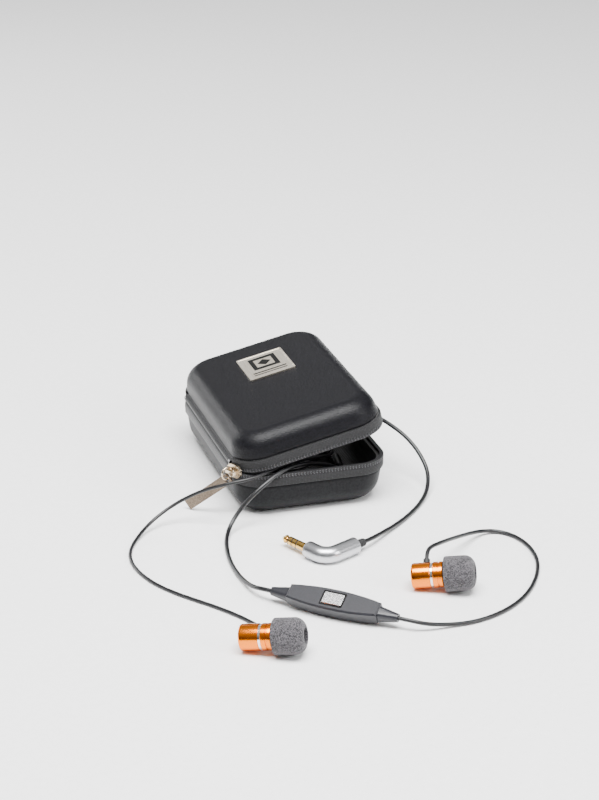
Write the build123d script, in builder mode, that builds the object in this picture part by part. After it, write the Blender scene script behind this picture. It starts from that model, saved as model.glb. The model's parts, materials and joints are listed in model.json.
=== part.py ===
"""Wired in-ear monitors with an in-line remote, a right-angle jack plug and a zipped clamshell case.

Millimetres, +Z up. The origin is the centre of the case's flat underside, the case's hinge runs
along Y on its -X side, and the earpieces, the remote and the plug lie on the same surface.
"""
import os
from math import asin, cos, degrees, pi, radians, sin, sqrt, tan

from build123d import *

os.makedirs("parts", exist_ok=True)

# ---- case: driving dimensions -------------------------------------------------------------------
case_width = 66.0  # across, hinge side to opening side (X)
case_depth = 99.0  # along the hinge (Y)
corner_radius = 13.5  # plan corners at the rim
rim_height = 19.2  # top of the lower zip coil
lid_depth = 15.0  # rim to the top of the lid
lid_open_angle = 12.5  # how far the lid stands open at rest
hinge_rise = 4.8  # fold line above the rim
hinge_inset = 0.6  # fold line inside the rim's outline
shell_inset = 0.8  # moulded shells stand back from the zip band
shell_wall = 1.5
lining_wall = 0.7
glue_gap = 0.05
base_edge_radius = 9.5
lid_edge_radius = 7.5
base_draft = 8.0
lid_draft = 12.0
tape_height = 5.0
tape_wall = 1.0
coil_width = 1.6
coil_height = 1.3
coil_inset = 0.1
tape_start_angle = 188.0  # where the zip starts on the front hinge-side corner
spine_reach = 8.0  # how far in from the hinge side the zip's band is left out
spine_wall = 1.3
spine_end_gap = 0.4
lid_clearance = 0.4
lining_lip_gap = 0.2  # the lining's lip stops short of the zip coil
tack_length = 2.2
tack_width = 0.8
tack_proud = 0.5

badge_width = 20.4
badge_depth = 24.0
badge_thickness = 0.6
badge_x = 1.0
badge_y = 17.0
badge_corner = 0.6

# ---- zip slider and pull ------------------------------------------------------------------------
slider_angle = 205.0  # place on the front hinge-side corner
slider_length = 8.0
slider_height = 5.6
slider_plate = 1.0
slider_gap = 0.4
slider_lift = 0.9  # the slider's middle above the rim
neck_width = 1.2
neck_height = 1.0
neck_clearance = 0.1
neck_drop = 0.15  # the neck's top below the rim
wing_length = 6.0
wing_thickness = 0.8
wing_clearance = 0.15
bridge_length = 5.0
bridge_hole = 1.6
bridge_bar = 0.7
bridge_width = 1.4
ring_radius = 2.6
ring_wire = 0.8
pull_end = Vector(-49.4, -30.4, 1.9)  # middle of the pull's far end, leaning on the surface
pull_heading = 228.4  # plan direction that the pull's face looks in
pull_width = 4.5
pull_thickness = 0.7
pull_hole = 2.4
pull_head = 1.7  # metal beyond the hole's centre

# ---- earpieces ----------------------------------------------------------------------------------
body_radius = 5.0
rear_length = 7.4
ring_length = 1.0
ring_groove = 0.25
front_length = 4.0
housing_wall = 0.9
rear_wall = 1.2
rear_edge = 0.9
front_edge = 0.5
groove_place = 1.9
groove_width = 0.5
groove_depth = 0.3
nozzle_radius = 2.3
nozzle_bore = 1.5
nozzle_length = 7.5
barb_length = 1.0
barb_depth = 0.35
screen_thickness = 0.3
screen_hole = 0.3
screen_pitch = 1.1
driver_radius = 3.7
driver_length = 3.2
driver_step = 0.4
core_wall = 0.5
core_clearance = 0.05
foam_radius = 6.9
foam_length = 12.2
foam_dome = 4.2
foam_gap = 0.3
foam_recess = 2.2
foam_edge = 0.5
foam_mouth = 0.3
foam_rest = 0.8  # where the lying foam touches the surface, beyond the housing
sleeve_radius = 1.3
sleeve_length = 2.4
sleeve_place = 5.4  # from the rear end to the sleeve
sleeve_edge = 0.3
left_sleeve_rise = -15.0  # the left earpiece lies with its sleeve turned down behind it
right_sleeve_rise = 30.0

# ---- remote -------------------------------------------------------------------------------------
remote_length = 52.0
remote_width = 9.6
remote_height = 6.8
remote_shell_end = 6.2  # width where the shells meet the end reliefs
remote_wall = 0.9
remote_relief = 7.5
remote_back_edge = 2.2
remote_face_edge = 0.6
relief_shoulder = 0.4  # the reliefs stand back from the shells' sides
relief_tip_wall = 0.75
split_height = 0.4  # the shells' parting plane above the middle
button_length = 8.0
button_width = 5.2
button_height = 2.0
button_proud = 0.35
button_clearance = 0.15
button_travel = 0.3
button_edge = 0.2
frame_rim = 0.6
frame_recess = 0.1
remote_roll = 28.0
remote_heading = -42.2
remote_left = Vector(-39.6, -120.8, 0)
board_length = 24.0
board_width = 5.4
board_thickness = 0.8
switch_height = 1.0
switch_length = 3.4
switch_width = 2.8
switch_gap = 0.05
microphone_radius = 1.6
microphone_height = 0.9
microphone_place = 9.0

# ---- plug ---------------------------------------------------------------------------------------
jack_radius = 1.75
jack_length = 14.0
jack_core = 0.9
insulator_length = 0.5
sleeve_contact = 5.2
ring_2_contact = 2.0
ring_1_contact = 1.7
elbow_radius = 3.4
elbow_short = 10.5
elbow_long = 15.8
elbow_bend = 5.0
plug_corner = Vector(-10.6, -97.0, 3.4)
plug_heading = 26.0
plug_relief_radius = 1.9
plug_relief_length = 5.0
plug_relief_taper = 0.35
elbow_lip = 0.8
tip_neck = 0.5  # depth of the waist behind the jack's point
tip_waist = 0.42  # the waist's place along the tip
tip_point = 0.7

# ---- cables -------------------------------------------------------------------------------------
ear_cable = 1.4  # diameter, splitter to the left earpiece
bud_cable = 1.6  # remote to the right earpiece
trunk_cable = 1.75  # splitter to the remote, and splitter to the plug
coil_centre = Vector(0, 9, 0)
coil_outer = 22.5
coil_inner = 16.5
coil_rise = 3.8
coil_edge = 0.8
coil_lift = 0.05
splitter_radius = 2.2
splitter_start = Vector(19.5, -20.0, 5.2)
splitter_end = Vector(21.3, -8.1, 5.2)
port_offset = 0.95
splitter_edge = 0.5


def save(part, name):
    """Label a finished piece and write its file."""
    part.label = name
    export_step(part, f"parts/{name}.step")


# ---- frames -------------------------------------------------------------------------------------
hinge_point = Vector(-case_width / 2 + hinge_inset, 0, rim_height + hinge_rise)
open_angle = radians(lid_open_angle)
lid_x = Vector(cos(open_angle), 0, sin(open_angle))
lid_z = Vector(-sin(open_angle), 0, cos(open_angle))
lid_origin = hinge_point + lid_x * (case_width / 2 - hinge_inset) - lid_z * hinge_rise
lid_plane = Plane(origin=lid_origin, x_dir=lid_x, z_dir=lid_z)
base_down = Plane(origin=(0, 0, rim_height - tape_height), x_dir=(1, 0, 0), z_dir=(0, 0, -1))
lid_up = lid_plane.offset(tape_height)
base_shell_depth = rim_height - tape_height
lid_shell_depth = lid_depth - tape_height


def tub(plane, inset, depth, edge, draft):
    """A rounded tray standing on a plane: drawn in by its draft, with its far edge rounded."""
    with BuildPart() as form:
        with BuildSketch(plane):
            RectangleRounded(case_width - 2 * inset, case_depth - 2 * inset, corner_radius - inset)
        extrude(amount=depth, taper=draft)
        fillet(form.faces().sort_by(Axis(plane.origin, plane.z_dir))[-1].edges(), edge)
    return form.part


def rim_band(plane, low, high, inset, wall):
    """A closed band round the rim, between two heights on a plane."""
    with BuildPart() as band:
        with BuildSketch(plane.offset(low)):
            RectangleRounded(case_width - 2 * inset, case_depth - 2 * inset, corner_radius - inset)
            inner = inset + wall
            RectangleRounded(
                case_width - 2 * inner, case_depth - 2 * inner, corner_radius - inner, mode=Mode.SUBTRACT
            )
        extrude(amount=high - low)
    return band.part


spine_half = case_depth / 2 - corner_radius - corner_radius * sin(radians(tape_start_angle))


def spine_cut(plane, low, high):
    """The space along the hinge side that the zip leaves free, between two heights on a plane."""
    with BuildPart() as space:
        with BuildSketch(plane.offset(low)):
            with Locations((-case_width / 2, 0)):
                Rectangle(2 * spine_reach, 2 * spine_half)
        extrude(amount=high - low)
    return space.part


# ---- case: shells and linings -------------------------------------------------------------------
wall_inset = shell_inset + shell_wall
skin_inset = wall_inset + glue_gap
inner_inset = skin_inset + lining_wall

with BuildPart() as case_lower_shell:
    add(tub(base_down, shell_inset, base_shell_depth, base_edge_radius, base_draft))
    add(
        tub(
            base_down,
            wall_inset,
            base_shell_depth - shell_wall,
            base_edge_radius - shell_wall,
            base_draft,
        ),
        mode=Mode.SUBTRACT,
    )
save(case_lower_shell.part, "case_lower_shell")

with BuildPart() as case_upper_shell:
    add(tub(lid_up, shell_inset, lid_shell_depth, lid_edge_radius, lid_draft))
    add(
        tub(lid_up, wall_inset, lid_shell_depth - shell_wall, lid_edge_radius - shell_wall, lid_draft),
        mode=Mode.SUBTRACT,
    )
save(case_upper_shell.part, "case_upper_shell")

lip_inset = tape_wall + glue_gap
lip_height = tape_height - coil_height - lining_lip_gap

with BuildPart() as lower_lining:
    skin_edge = base_edge_radius - shell_wall - glue_gap
    skin_depth = base_shell_depth - shell_wall - glue_gap
    add(tub(base_down, skin_inset, skin_depth, skin_edge, base_draft))
    add(
        tub(base_down, inner_inset, skin_depth - lining_wall, skin_edge - lining_wall, base_draft),
        mode=Mode.SUBTRACT,
    )
    lip_top = base_shell_depth + lip_height
    add(rim_band(Plane.XY, base_shell_depth, lip_top, lip_inset, inner_inset - lip_inset))
    add(spine_cut(Plane.XY, base_shell_depth, rim_height), mode=Mode.SUBTRACT)
save(lower_lining.part, "lower_lining")

with BuildPart() as upper_lining:
    lid_skin_edge = lid_edge_radius - shell_wall - glue_gap
    lid_skin_depth = lid_shell_depth - shell_wall - glue_gap
    add(tub(lid_up, skin_inset, lid_skin_depth, lid_skin_edge, lid_draft))
    add(
        tub(lid_up, inner_inset, lid_skin_depth - lining_wall, lid_skin_edge - lining_wall, lid_draft),
        mode=Mode.SUBTRACT,
    )
    add(
        rim_band(
            lid_plane, tape_height - lip_height, tape_height, lip_inset, inner_inset - lip_inset
        )
    )
    add(spine_cut(lid_plane, 0, tape_height), mode=Mode.SUBTRACT)
save(upper_lining.part, "upper_lining")

# ---- case: zip ----------------------------------------------------------------------------------
with BuildPart() as lower_zip_tape:
    add(rim_band(Plane.XY, base_shell_depth, rim_height - coil_height, 0, tape_wall))
    add(spine_cut(Plane.XY, base_shell_depth, rim_height), mode=Mode.SUBTRACT)
save(lower_zip_tape.part, "lower_zip_tape")

with BuildPart() as upper_zip_tape:
    add(rim_band(lid_plane, coil_height, tape_height, 0, tape_wall))
    add(spine_cut(lid_plane, 0, tape_height), mode=Mode.SUBTRACT)
save(upper_zip_tape.part, "upper_zip_tape")

slider_turn = radians(slider_angle)
slider_out = Vector(cos(slider_turn), sin(slider_turn), 0)
slider_along = Vector(-sin(slider_turn), cos(slider_turn), 0)
corner_centre = Vector(-case_width / 2 + corner_radius, -case_depth / 2 + corner_radius, 0)
slider_base = corner_centre + Vector(0, 0, rim_height + slider_lift)
neck_level = rim_height - neck_height - neck_drop
coil_inner_radius = corner_radius - coil_inset - coil_width


def slider_box(reach_in, reach_out, length, low, high):
    """A block on the slider's own frame, between two distances from the corner's centre."""
    middle = (reach_in + reach_out) / 2
    face = Plane(origin=corner_centre + slider_out * middle, x_dir=slider_along, z_dir=(0, 0, 1))
    with BuildPart() as block:
        with BuildSketch(face.offset(low)):
            Rectangle(length, reach_out - reach_in)
        extrude(amount=high - low)
    return block.part


with BuildPart() as lower_zip_coil:
    add(rim_band(Plane.XY, rim_height - coil_height, rim_height, coil_inset, coil_width))
    add(spine_cut(Plane.XY, base_shell_depth, rim_height), mode=Mode.SUBTRACT)
    add(
        slider_box(
            coil_inner_radius - coil_width,
            corner_radius + coil_width,
            neck_width + 2 * neck_clearance,
            rim_height - coil_height,
            rim_height,
        ),
        mode=Mode.SUBTRACT,
    )
save(lower_zip_coil.part, "lower_zip_coil")

with BuildPart() as upper_zip_coil:
    add(rim_band(lid_plane, 0, coil_height, coil_inset, coil_width))
    add(spine_cut(lid_plane, 0, coil_height), mode=Mode.SUBTRACT)
save(upper_zip_coil.part, "upper_zip_coil")

plate_inner = corner_radius + slider_gap
plate_outer = plate_inner + slider_plate
bridge_inner = plate_outer + bridge_hole
bridge_outer = bridge_inner + bridge_bar
wing_outer = sqrt((coil_inner_radius - wing_clearance) ** 2 - (wing_length / 2) ** 2)
plate_plane = Plane(origin=slider_base + slider_out * plate_inner, x_dir=slider_along, z_dir=slider_out)
arch_plane = Plane(
    origin=slider_base - Vector(0, 0, bridge_width / 2), x_dir=slider_along, z_dir=(0, 0, 1)
)

with BuildPart() as zip_slider:
    with BuildSketch(plate_plane):
        SlotOverall(slider_length, slider_height)
    extrude(amount=slider_plate)
    wing_inner = wing_outer - wing_thickness
    neck_top = neck_level + neck_height
    add(slider_box(wing_inner, plate_inner + slider_plate / 2, neck_width, neck_level, neck_top))
    add(slider_box(wing_inner, wing_outer, wing_length, neck_level, neck_top))
    with BuildSketch(arch_plane):
        with Locations((0, -(plate_outer + bridge_outer) / 2)):
            Rectangle(bridge_length, bridge_outer - plate_outer)
        with Locations((0, -(plate_outer + bridge_inner) / 2)):
            Rectangle(bridge_length - 2 * bridge_bar, bridge_hole, mode=Mode.SUBTRACT)
    extrude(amount=bridge_width)
save(zip_slider.part, "zip_slider")

ring_pivot = slider_base + slider_out * (plate_outer + bridge_hole / 2)
ring_centre = ring_pivot + slider_out * ring_radius
with BuildPart() as pull_ring:
    with BuildSketch(Plane(origin=ring_centre, x_dir=slider_out, z_dir=(0, 0, 1))):
        with Locations((ring_radius, 0)):
            Circle(ring_wire / 2)
    revolve(axis=Axis(ring_centre, slider_along), revolution_arc=360)
save(pull_ring.part, "pull_ring")

pull_pivot = ring_centre - Vector(0, 0, ring_radius)
pull_down = (pull_end - pull_pivot).normalized()
pull_look = Vector(cos(radians(pull_heading)), sin(radians(pull_heading)), 0)
pull_side = pull_look.cross(pull_down).normalized()
pull_face = pull_down.cross(pull_side)
pull_length = (pull_end - pull_pivot).length
pull_plane = Plane(
    origin=pull_pivot - pull_face * (pull_thickness / 2), x_dir=pull_down, z_dir=pull_face
)
with BuildPart() as pull_tab:
    with BuildSketch(pull_plane):
        with Locations(((pull_length - pull_head) / 2, 0)):
            RectangleRounded(pull_length + pull_head, pull_width, 0.5)
        Circle(pull_hole / 2, mode=Mode.SUBTRACT)
    extrude(amount=pull_thickness)
save(pull_tab.part, "pull_tab")

# ---- case: spine, stitches and badge ------------------------------------------------------------
spine_top = hinge_point.Z - lid_clearance
spine_length = 2 * (spine_half - spine_end_gap)
with BuildPart() as spine_hinge:
    with BuildSketch(Plane.XY.offset(base_shell_depth)):
        with Locations((-case_width / 2 + spine_wall / 2, 0)):
            Rectangle(spine_wall, spine_length)
    extrude(amount=spine_top - base_shell_depth)
    fillet(spine_hinge.faces().sort_by(Axis.Z)[-1].edges().filter_by(Axis.Y), spine_wall * 0.45)
save(spine_hinge.part, "spine_hinge")

with BuildPart() as zip_end_tacks:
    tack_y = spine_length / 2 - 1.5 * tack_width
    with BuildSketch(Plane.YZ.offset(-case_width / 2 - tack_proud)):
        with Locations((-tack_y, spine_top - tack_length), (tack_y, spine_top - tack_length)):
            RectangleRounded(tack_width, tack_length, tack_width * 0.4)
    extrude(amount=tack_proud)
save(zip_end_tacks.part, "zip_end_tacks")

with BuildPart() as badge_plate:
    with BuildSketch(lid_plane.offset(lid_depth)):
        with Locations((badge_x, badge_y)):
            RectangleRounded(badge_width, badge_depth, badge_corner)
    extrude(amount=badge_thickness)
save(badge_plate.part, "badge_plate")

# ---- earpieces ----------------------------------------------------------------------------------
body_length = rear_length + ring_length + front_length
ear_tilt = asin((foam_radius - body_radius) / (body_length + foam_rest))
housing_bore = body_radius - housing_wall


def ear_frame(x, y, heading):
    """The rear end's centre, with local +Z along the earpiece and local +X level."""
    turn = radians(heading)
    along = Vector(cos(turn) * cos(ear_tilt), sin(turn) * cos(ear_tilt), sin(ear_tilt))
    return Plane(origin=(x, y, body_radius * cos(ear_tilt)), x_dir=(sin(turn), -cos(turn), 0), z_dir=along)


def profile_plane(frame):
    """A plane through the frame's axis, with +X across it and +Y along it."""
    return Plane(origin=frame.origin, x_dir=frame.x_dir, z_dir=frame.x_dir.cross(frame.z_dir))


def turned(frame, outline):
    """A solid of revolution about the frame's axis, from (radius, distance) points."""
    with BuildPart() as form:
        with BuildSketch(profile_plane(frame)):
            with BuildLine():
                Polyline(*outline, close=True)
            make_face()
        revolve(axis=Axis(frame.origin, frame.z_dir), revolution_arc=360)
    return form.part


def earpiece(side, frame, sleeve_rise):
    """Write one earpiece's pieces. Returns where its cable leaves, and in which direction."""
    ring_end = rear_length + ring_length
    nozzle_start = body_length - housing_wall
    nozzle_end = body_length + nozzle_length
    rise = radians(sleeve_rise)
    sleeve_out = frame.x_dir.cross(frame.z_dir) * sin(rise) - frame.x_dir * cos(rise)
    sleeve_root = frame.origin + frame.z_dir * sleeve_place
    sleeve_plane = Plane(origin=sleeve_root + sleeve_out * housing_bore, z_dir=sleeve_out)

    rear_outline = [
        (0, 0),
        (body_radius - rear_edge, 0),
        (body_radius - rear_edge * 0.3, rear_edge * 0.3),
        (body_radius, rear_edge),
        (body_radius, rear_length),
        (housing_bore, rear_length),
        (housing_bore, rear_wall),
        (0, rear_wall),
    ]
    with BuildPart() as rear:
        add(turned(frame, rear_outline))
        with BuildSketch(sleeve_plane.offset(-housing_wall)):
            Circle(sleeve_radius)
        extrude(amount=3 * housing_wall, mode=Mode.SUBTRACT)
    save(rear.part, f"{side}_rear_housing")

    band_radius = body_radius - ring_groove
    band_outline = [
        (housing_bore, rear_length),
        (band_radius, rear_length),
        (band_radius, ring_end),
        (housing_bore, ring_end),
    ]
    with BuildPart() as band:
        add(turned(frame, band_outline))
    save(band.part, f"{side}_polished_ring")

    groove = ring_end + groove_place
    front_outline = [
        (housing_bore, ring_end),
        (body_radius, ring_end),
        (body_radius, groove),
        (body_radius - groove_depth, groove),
        (body_radius - groove_depth, groove + groove_width),
        (body_radius, groove + groove_width),
        (body_radius, body_length - front_edge),
        (body_radius - front_edge, body_length),
        (nozzle_radius, body_length),
        (nozzle_radius, nozzle_start),
        (housing_bore, nozzle_start),
    ]
    with BuildPart() as front:
        add(turned(frame, front_outline))
    save(front.part, f"{side}_front_housing")

    waist_start = nozzle_end - 2 * barb_length
    barb_start = nozzle_end - barb_length
    nozzle_outline = [
        (nozzle_bore, nozzle_start),
        (nozzle_radius, nozzle_start),
        (nozzle_radius, waist_start),
        (nozzle_radius - barb_depth, waist_start + barb_depth),
        (nozzle_radius - barb_depth, barb_start - barb_depth),
        (nozzle_radius, barb_start),
        (nozzle_radius, nozzle_end),
        (nozzle_bore, nozzle_end),
    ]
    with BuildPart() as nozzle:
        add(turned(frame, nozzle_outline))
    save(nozzle.part, f"{side}_nozzle")

    with BuildPart() as screen:
        with BuildSketch(frame.offset(nozzle_end)):
            Circle(nozzle_radius)
            with PolarLocations(screen_pitch, 6):
                Circle(screen_hole, mode=Mode.SUBTRACT)
            Circle(screen_hole, mode=Mode.SUBTRACT)
        extrude(amount=screen_thickness)
    save(screen.part, f"{side}_nozzle_screen")

    with BuildPart() as driver:
        with BuildSketch(frame.offset(nozzle_start - driver_length)):
            Circle(driver_radius)
        extrude(amount=driver_length - driver_step)
        with BuildSketch(frame.offset(nozzle_start - driver_step)):
            Circle(driver_radius - 2 * driver_step)
        extrude(amount=driver_step)
    save(driver.part, f"{side}_driver")

    with BuildPart() as sleeve:
        with BuildSketch(sleeve_plane):
            Circle(sleeve_radius)
        extrude(amount=housing_wall + sleeve_length)
        fillet(sleeve.faces().sort_by(Axis(sleeve_plane.origin, sleeve_out))[-1].edges(), sleeve_edge)
    save(sleeve.part, f"{side}_cable_sleeve")

    core_bore = nozzle_radius + core_clearance
    core_radius = core_bore + core_wall
    foam_start = body_length + foam_gap
    foam_end = body_length + foam_length
    core_end = foam_end - foam_recess
    core_outline = [
        (core_bore, foam_start),
        (core_radius, foam_start),
        (core_radius, core_end),
        (core_bore, core_end),
    ]
    with BuildPart() as core:
        add(turned(frame, core_outline))
    save(core.part, f"{side}_tip_core")

    dome_start = foam_end - foam_dome
    with BuildPart() as foam:
        with BuildSketch(profile_plane(frame)):
            with BuildLine():
                Polyline(
                    (core_radius, core_end),
                    (core_radius, foam_start),
                    (foam_radius - foam_edge, foam_start),
                    (foam_radius, foam_start + foam_edge),
                    (foam_radius, dome_start),
                )
                shoulder = CenterArc((foam_radius - foam_dome, dome_start), foam_dome, 0, 90)
                Polyline(shoulder @ 1, (core_radius - foam_mouth, foam_end), (core_radius, core_end))
            make_face()
        revolve(axis=Axis(frame.origin, frame.z_dir), revolution_arc=360)
    save(foam.part, f"{side}_foam_tip")
    return sleeve_root + sleeve_out * (body_radius + sleeve_length), sleeve_out


left_exit, left_out = earpiece("left", ear_frame(-61.1, -154.2, -29.4), left_sleeve_rise)
right_exit, right_out = earpiece("right", ear_frame(15.1, -125.3, -25.8), right_sleeve_rise)

# ---- remote -------------------------------------------------------------------------------------
heading = radians(remote_heading)
roll = radians(remote_roll)
remote_x = Vector(cos(heading), sin(heading), 0)
remote_near = Vector(sin(heading), -cos(heading), 0)
remote_up = Vector(0, 0, 1) * cos(roll) + remote_near * sin(roll)
remote_lift = (
    (remote_height / 2 - remote_back_edge) * cos(roll)
    + (remote_width / 2 - remote_back_edge) * sin(roll)
    + remote_back_edge
)
remote_origin = remote_left + remote_x * (remote_length / 2) + Vector(0, 0, remote_lift)
remote_plane = Plane(origin=remote_origin, x_dir=remote_x, z_dir=remote_up)
remote_axis = Axis(remote_origin, remote_up)
shell_length = remote_length - 2 * remote_relief


def spindle(length, width, end_width):
    """A long barrel-shaped outline, symmetrical about both axes."""
    half = length / 2
    with BuildSketch() as outline:
        with BuildLine():
            far = ThreePointArc((-half, end_width / 2), (0, width / 2), (half, end_width / 2))
            near = ThreePointArc((half, -end_width / 2), (0, -width / 2), (-half, -end_width / 2))
            Line(far @ 1, near @ 0)
            Line(near @ 1, far @ 0)
        make_face()
    return outline.sketch


with BuildPart() as remote_blank:
    with BuildSketch(remote_plane.offset(-remote_height / 2)):
        add(spindle(shell_length, remote_width, remote_shell_end))
    extrude(amount=remote_height)
    chamfer(remote_blank.faces().sort_by(remote_axis)[-1].edges(), remote_face_edge)
    fillet(remote_blank.faces().sort_by(remote_axis)[0].edges(), remote_back_edge)
with BuildPart() as remote_hollow:
    with BuildSketch(remote_plane.offset(-remote_height / 2 + remote_wall)):
        hollow_end = remote_shell_end - 2 * remote_wall
        add(spindle(shell_length - 2 * remote_wall, remote_width - 2 * remote_wall, hollow_end))
    extrude(amount=remote_height - 2 * remote_wall)

button_plane = remote_plane.offset(remote_height / 2)
frame_length = button_length + 2 * (button_clearance + frame_rim)
frame_width = button_width + 2 * (button_clearance + frame_rim)
with BuildPart() as remote_top_shell:
    add(remote_blank.part)
    split(bisect_by=remote_plane.offset(split_height), keep=Keep.TOP)
    add(remote_hollow.part, mode=Mode.SUBTRACT)
    with BuildSketch(button_plane.offset(-2 * remote_wall)):
        RectangleRounded(frame_length, frame_width, frame_rim)
    extrude(amount=3 * remote_wall, mode=Mode.SUBTRACT)
save(remote_top_shell.part, "remote_top_shell")

with BuildPart() as remote_bottom_shell:
    add(remote_blank.part)
    split(bisect_by=remote_plane.offset(split_height), keep=Keep.BOTTOM)
    add(remote_hollow.part, mode=Mode.SUBTRACT)
save(remote_bottom_shell.part, "remote_bottom_shell")

for relief_name, direction in (("remote_inlet_relief", -1), ("remote_outlet_relief", 1)):
    seat = Plane(
        origin=remote_origin + remote_x * (direction * shell_length / 2),
        x_dir=remote_up,
        z_dir=remote_x * direction,
    )
    with BuildPart() as relief:
        with BuildSketch(seat):
            relief_height = remote_height - 2 * remote_wall
            RectangleRounded(relief_height, remote_shell_end - 2 * relief_shoulder, relief_height * 0.35)
        with BuildSketch(seat.offset(remote_relief)):
            Circle(trunk_cable / 2 + relief_tip_wall)
        loft()
    save(relief.part, relief_name)

with BuildPart() as button_frame:
    with BuildSketch(button_plane.offset(-remote_wall - frame_rim)):
        RectangleRounded(frame_length, frame_width, frame_rim)
        RectangleRounded(
            button_length + 2 * button_clearance,
            button_width + 2 * button_clearance,
            frame_rim,
            mode=Mode.SUBTRACT,
        )
    extrude(amount=remote_wall + frame_rim - frame_recess)
save(button_frame.part, "button_frame")

with BuildPart() as remote_button:
    with BuildSketch(button_plane.offset(button_proud)):
        RectangleRounded(button_length, button_width, button_edge * 2)
    extrude(amount=-button_height)
    chamfer(remote_button.faces().sort_by(remote_axis)[-1].edges(), button_edge)
save(remote_button.part, "remote_button")

button_foot = remote_height / 2 + button_proud - button_height
board_top = button_foot - button_travel - switch_gap - switch_height
with BuildPart() as remote_board:
    with BuildSketch(remote_plane.offset(board_top - board_thickness)):
        Rectangle(board_length, board_width)
    extrude(amount=board_thickness)
save(remote_board.part, "remote_board")

with BuildPart() as tact_switch:
    with BuildSketch(remote_plane.offset(board_top)):
        RectangleRounded(switch_length, switch_width, button_edge)
    extrude(amount=switch_height)
save(tact_switch.part, "tact_switch")

with BuildPart() as microphone:
    with BuildSketch(remote_plane.offset(board_top)):
        with Locations((microphone_place, 0)):
            Circle(microphone_radius)
    extrude(amount=microphone_height)
save(microphone.part, "microphone")

# ---- plug ---------------------------------------------------------------------------------------
plug_turn = radians(plug_heading)
barrel_out = Vector(cos(plug_turn), sin(plug_turn), 0)
jack_out = Vector(-sin(plug_turn), cos(plug_turn), 0)  # both arms lie on the surface
jack_root = plug_corner + jack_out * elbow_short
barrel_end = plug_corner + barrel_out * elbow_long

with BuildPart() as plug_elbow:
    with BuildLine():
        FilletPolyline(jack_root, plug_corner, barrel_end, radius=elbow_bend)
    with BuildSketch(Plane(origin=jack_root, z_dir=jack_out * -1)):
        Circle(elbow_radius)
    sweep()
    fillet(plug_elbow.faces().sort_by(Axis(plug_corner, jack_out))[-1].edges(), elbow_lip)
save(plug_elbow.part, "plug_elbow")

with BuildPart() as plug_strain_relief:
    with BuildSketch(Plane(origin=barrel_end, z_dir=barrel_out)):
        Circle(plug_relief_radius)
    with BuildSketch(Plane(origin=barrel_end + barrel_out * plug_relief_length, z_dir=barrel_out)):
        Circle(plug_relief_radius - plug_relief_taper)
    loft()
save(plug_strain_relief.part, "plug_strain_relief")

jack_frame = Plane(origin=jack_root, z_dir=jack_out)
contacts = {"jack_sleeve": sleeve_contact, "jack_ring_2": ring_2_contact, "jack_ring_1": ring_1_contact}
place = 0.0
gaps = []
for contact, length in contacts.items():
    with BuildPart() as band:
        with BuildSketch(jack_frame.offset(place)):
            Circle(jack_radius)
            Circle(jack_core, mode=Mode.SUBTRACT)
        extrude(amount=length)
    save(band.part, contact)
    gaps.append(place + length)
    place += length + insulator_length

with BuildPart() as jack_insulators:
    for gap_start in gaps:
        with BuildSketch(jack_frame.offset(gap_start)):
            Circle(jack_radius)
            Circle(jack_core, mode=Mode.SUBTRACT)
        extrude(amount=insulator_length)
save(jack_insulators.part, "jack_insulators")

waist = place + (jack_length - place) * tip_waist
tip_outline = [
    (0, 0),
    (jack_core, 0),
    (jack_core, place),
    (jack_radius, place),
    (jack_radius - tip_neck, waist - tip_neck),
    (jack_radius - tip_neck, waist),
    (jack_radius, waist + tip_neck),
    (tip_point, jack_length),
    (0, jack_length),
]
level_across = jack_out.cross(Vector(0, 0, 1)).normalized()
with BuildPart() as jack_tip:
    add(turned(Plane(origin=jack_root, x_dir=level_across, z_dir=jack_out), tip_outline))
save(jack_tip.part, "jack_tip")

# ---- cables -------------------------------------------------------------------------------------
splitter_length = (splitter_end - splitter_start).length
splitter_along = (splitter_end - splitter_start).normalized()
splitter_across = Vector(splitter_along.Y, -splitter_along.X, 0)
left_port = splitter_start - splitter_across * port_offset
remote_port = splitter_start + splitter_across * port_offset
remote_inlet = remote_origin - remote_x * (remote_length / 2)
remote_outlet = remote_origin + remote_x * (remote_length / 2)
plug_exit = barrel_end + barrel_out * plug_relief_length

with BuildPart() as y_splitter:
    with BuildSketch(Plane(origin=splitter_start, z_dir=splitter_along)):
        Circle(splitter_radius)
    extrude(amount=splitter_length)
    chamfer(y_splitter.edges().filter_by(GeomType.CIRCLE), splitter_edge)
save(y_splitter.part, "y_splitter")

with BuildPart() as main_cable_coil:
    with BuildSketch(Plane.XY.offset(shell_wall + glue_gap + lining_wall + coil_lift)):
        with Locations((coil_centre.X, coil_centre.Y)):
            Circle(coil_outer)
            Circle(coil_inner, mode=Mode.SUBTRACT)
    extrude(amount=coil_rise)
    fillet(main_cable_coil.edges().filter_by(GeomType.CIRCLE), coil_edge)
save(main_cable_coil.part, "main_cable_coil")


def tube(name, route, diameter):
    """A cable: straight runs joined by arcs as large as their runs allow."""
    points = [Vector(*point) for point in route]
    radii = []
    for before, corner, after in zip(points, points[1:], points[2:]):
        arriving, leaving = corner - before, after - corner
        shorter = min(arriving.length, leaving.length)
        radii.append(0.45 * shorter / tan(radians(arriving.get_angle(leaving)) / 2))
    with BuildPart() as cable:
        with BuildLine() as path:
            FilletPolyline(*points, radius=radii)
        with BuildSketch(Plane(origin=points[0], z_dir=points[1] - points[0])):
            Circle(diameter / 2)
        sweep()
    length = sum(edge.length for edge in path.line.edges())
    ratio = cable.part.volume / (length * pi * diameter**2 / 4)
    print(f"{name}: length {length:.1f}, volume over section times length {ratio:.4f}")
    print("   radii", [round(radius, 1) for radius in radii])
    print("   runs", [round((end - start).length, 1) for start, end in zip(points, points[1:])])
    save(cable.part, name)


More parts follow.
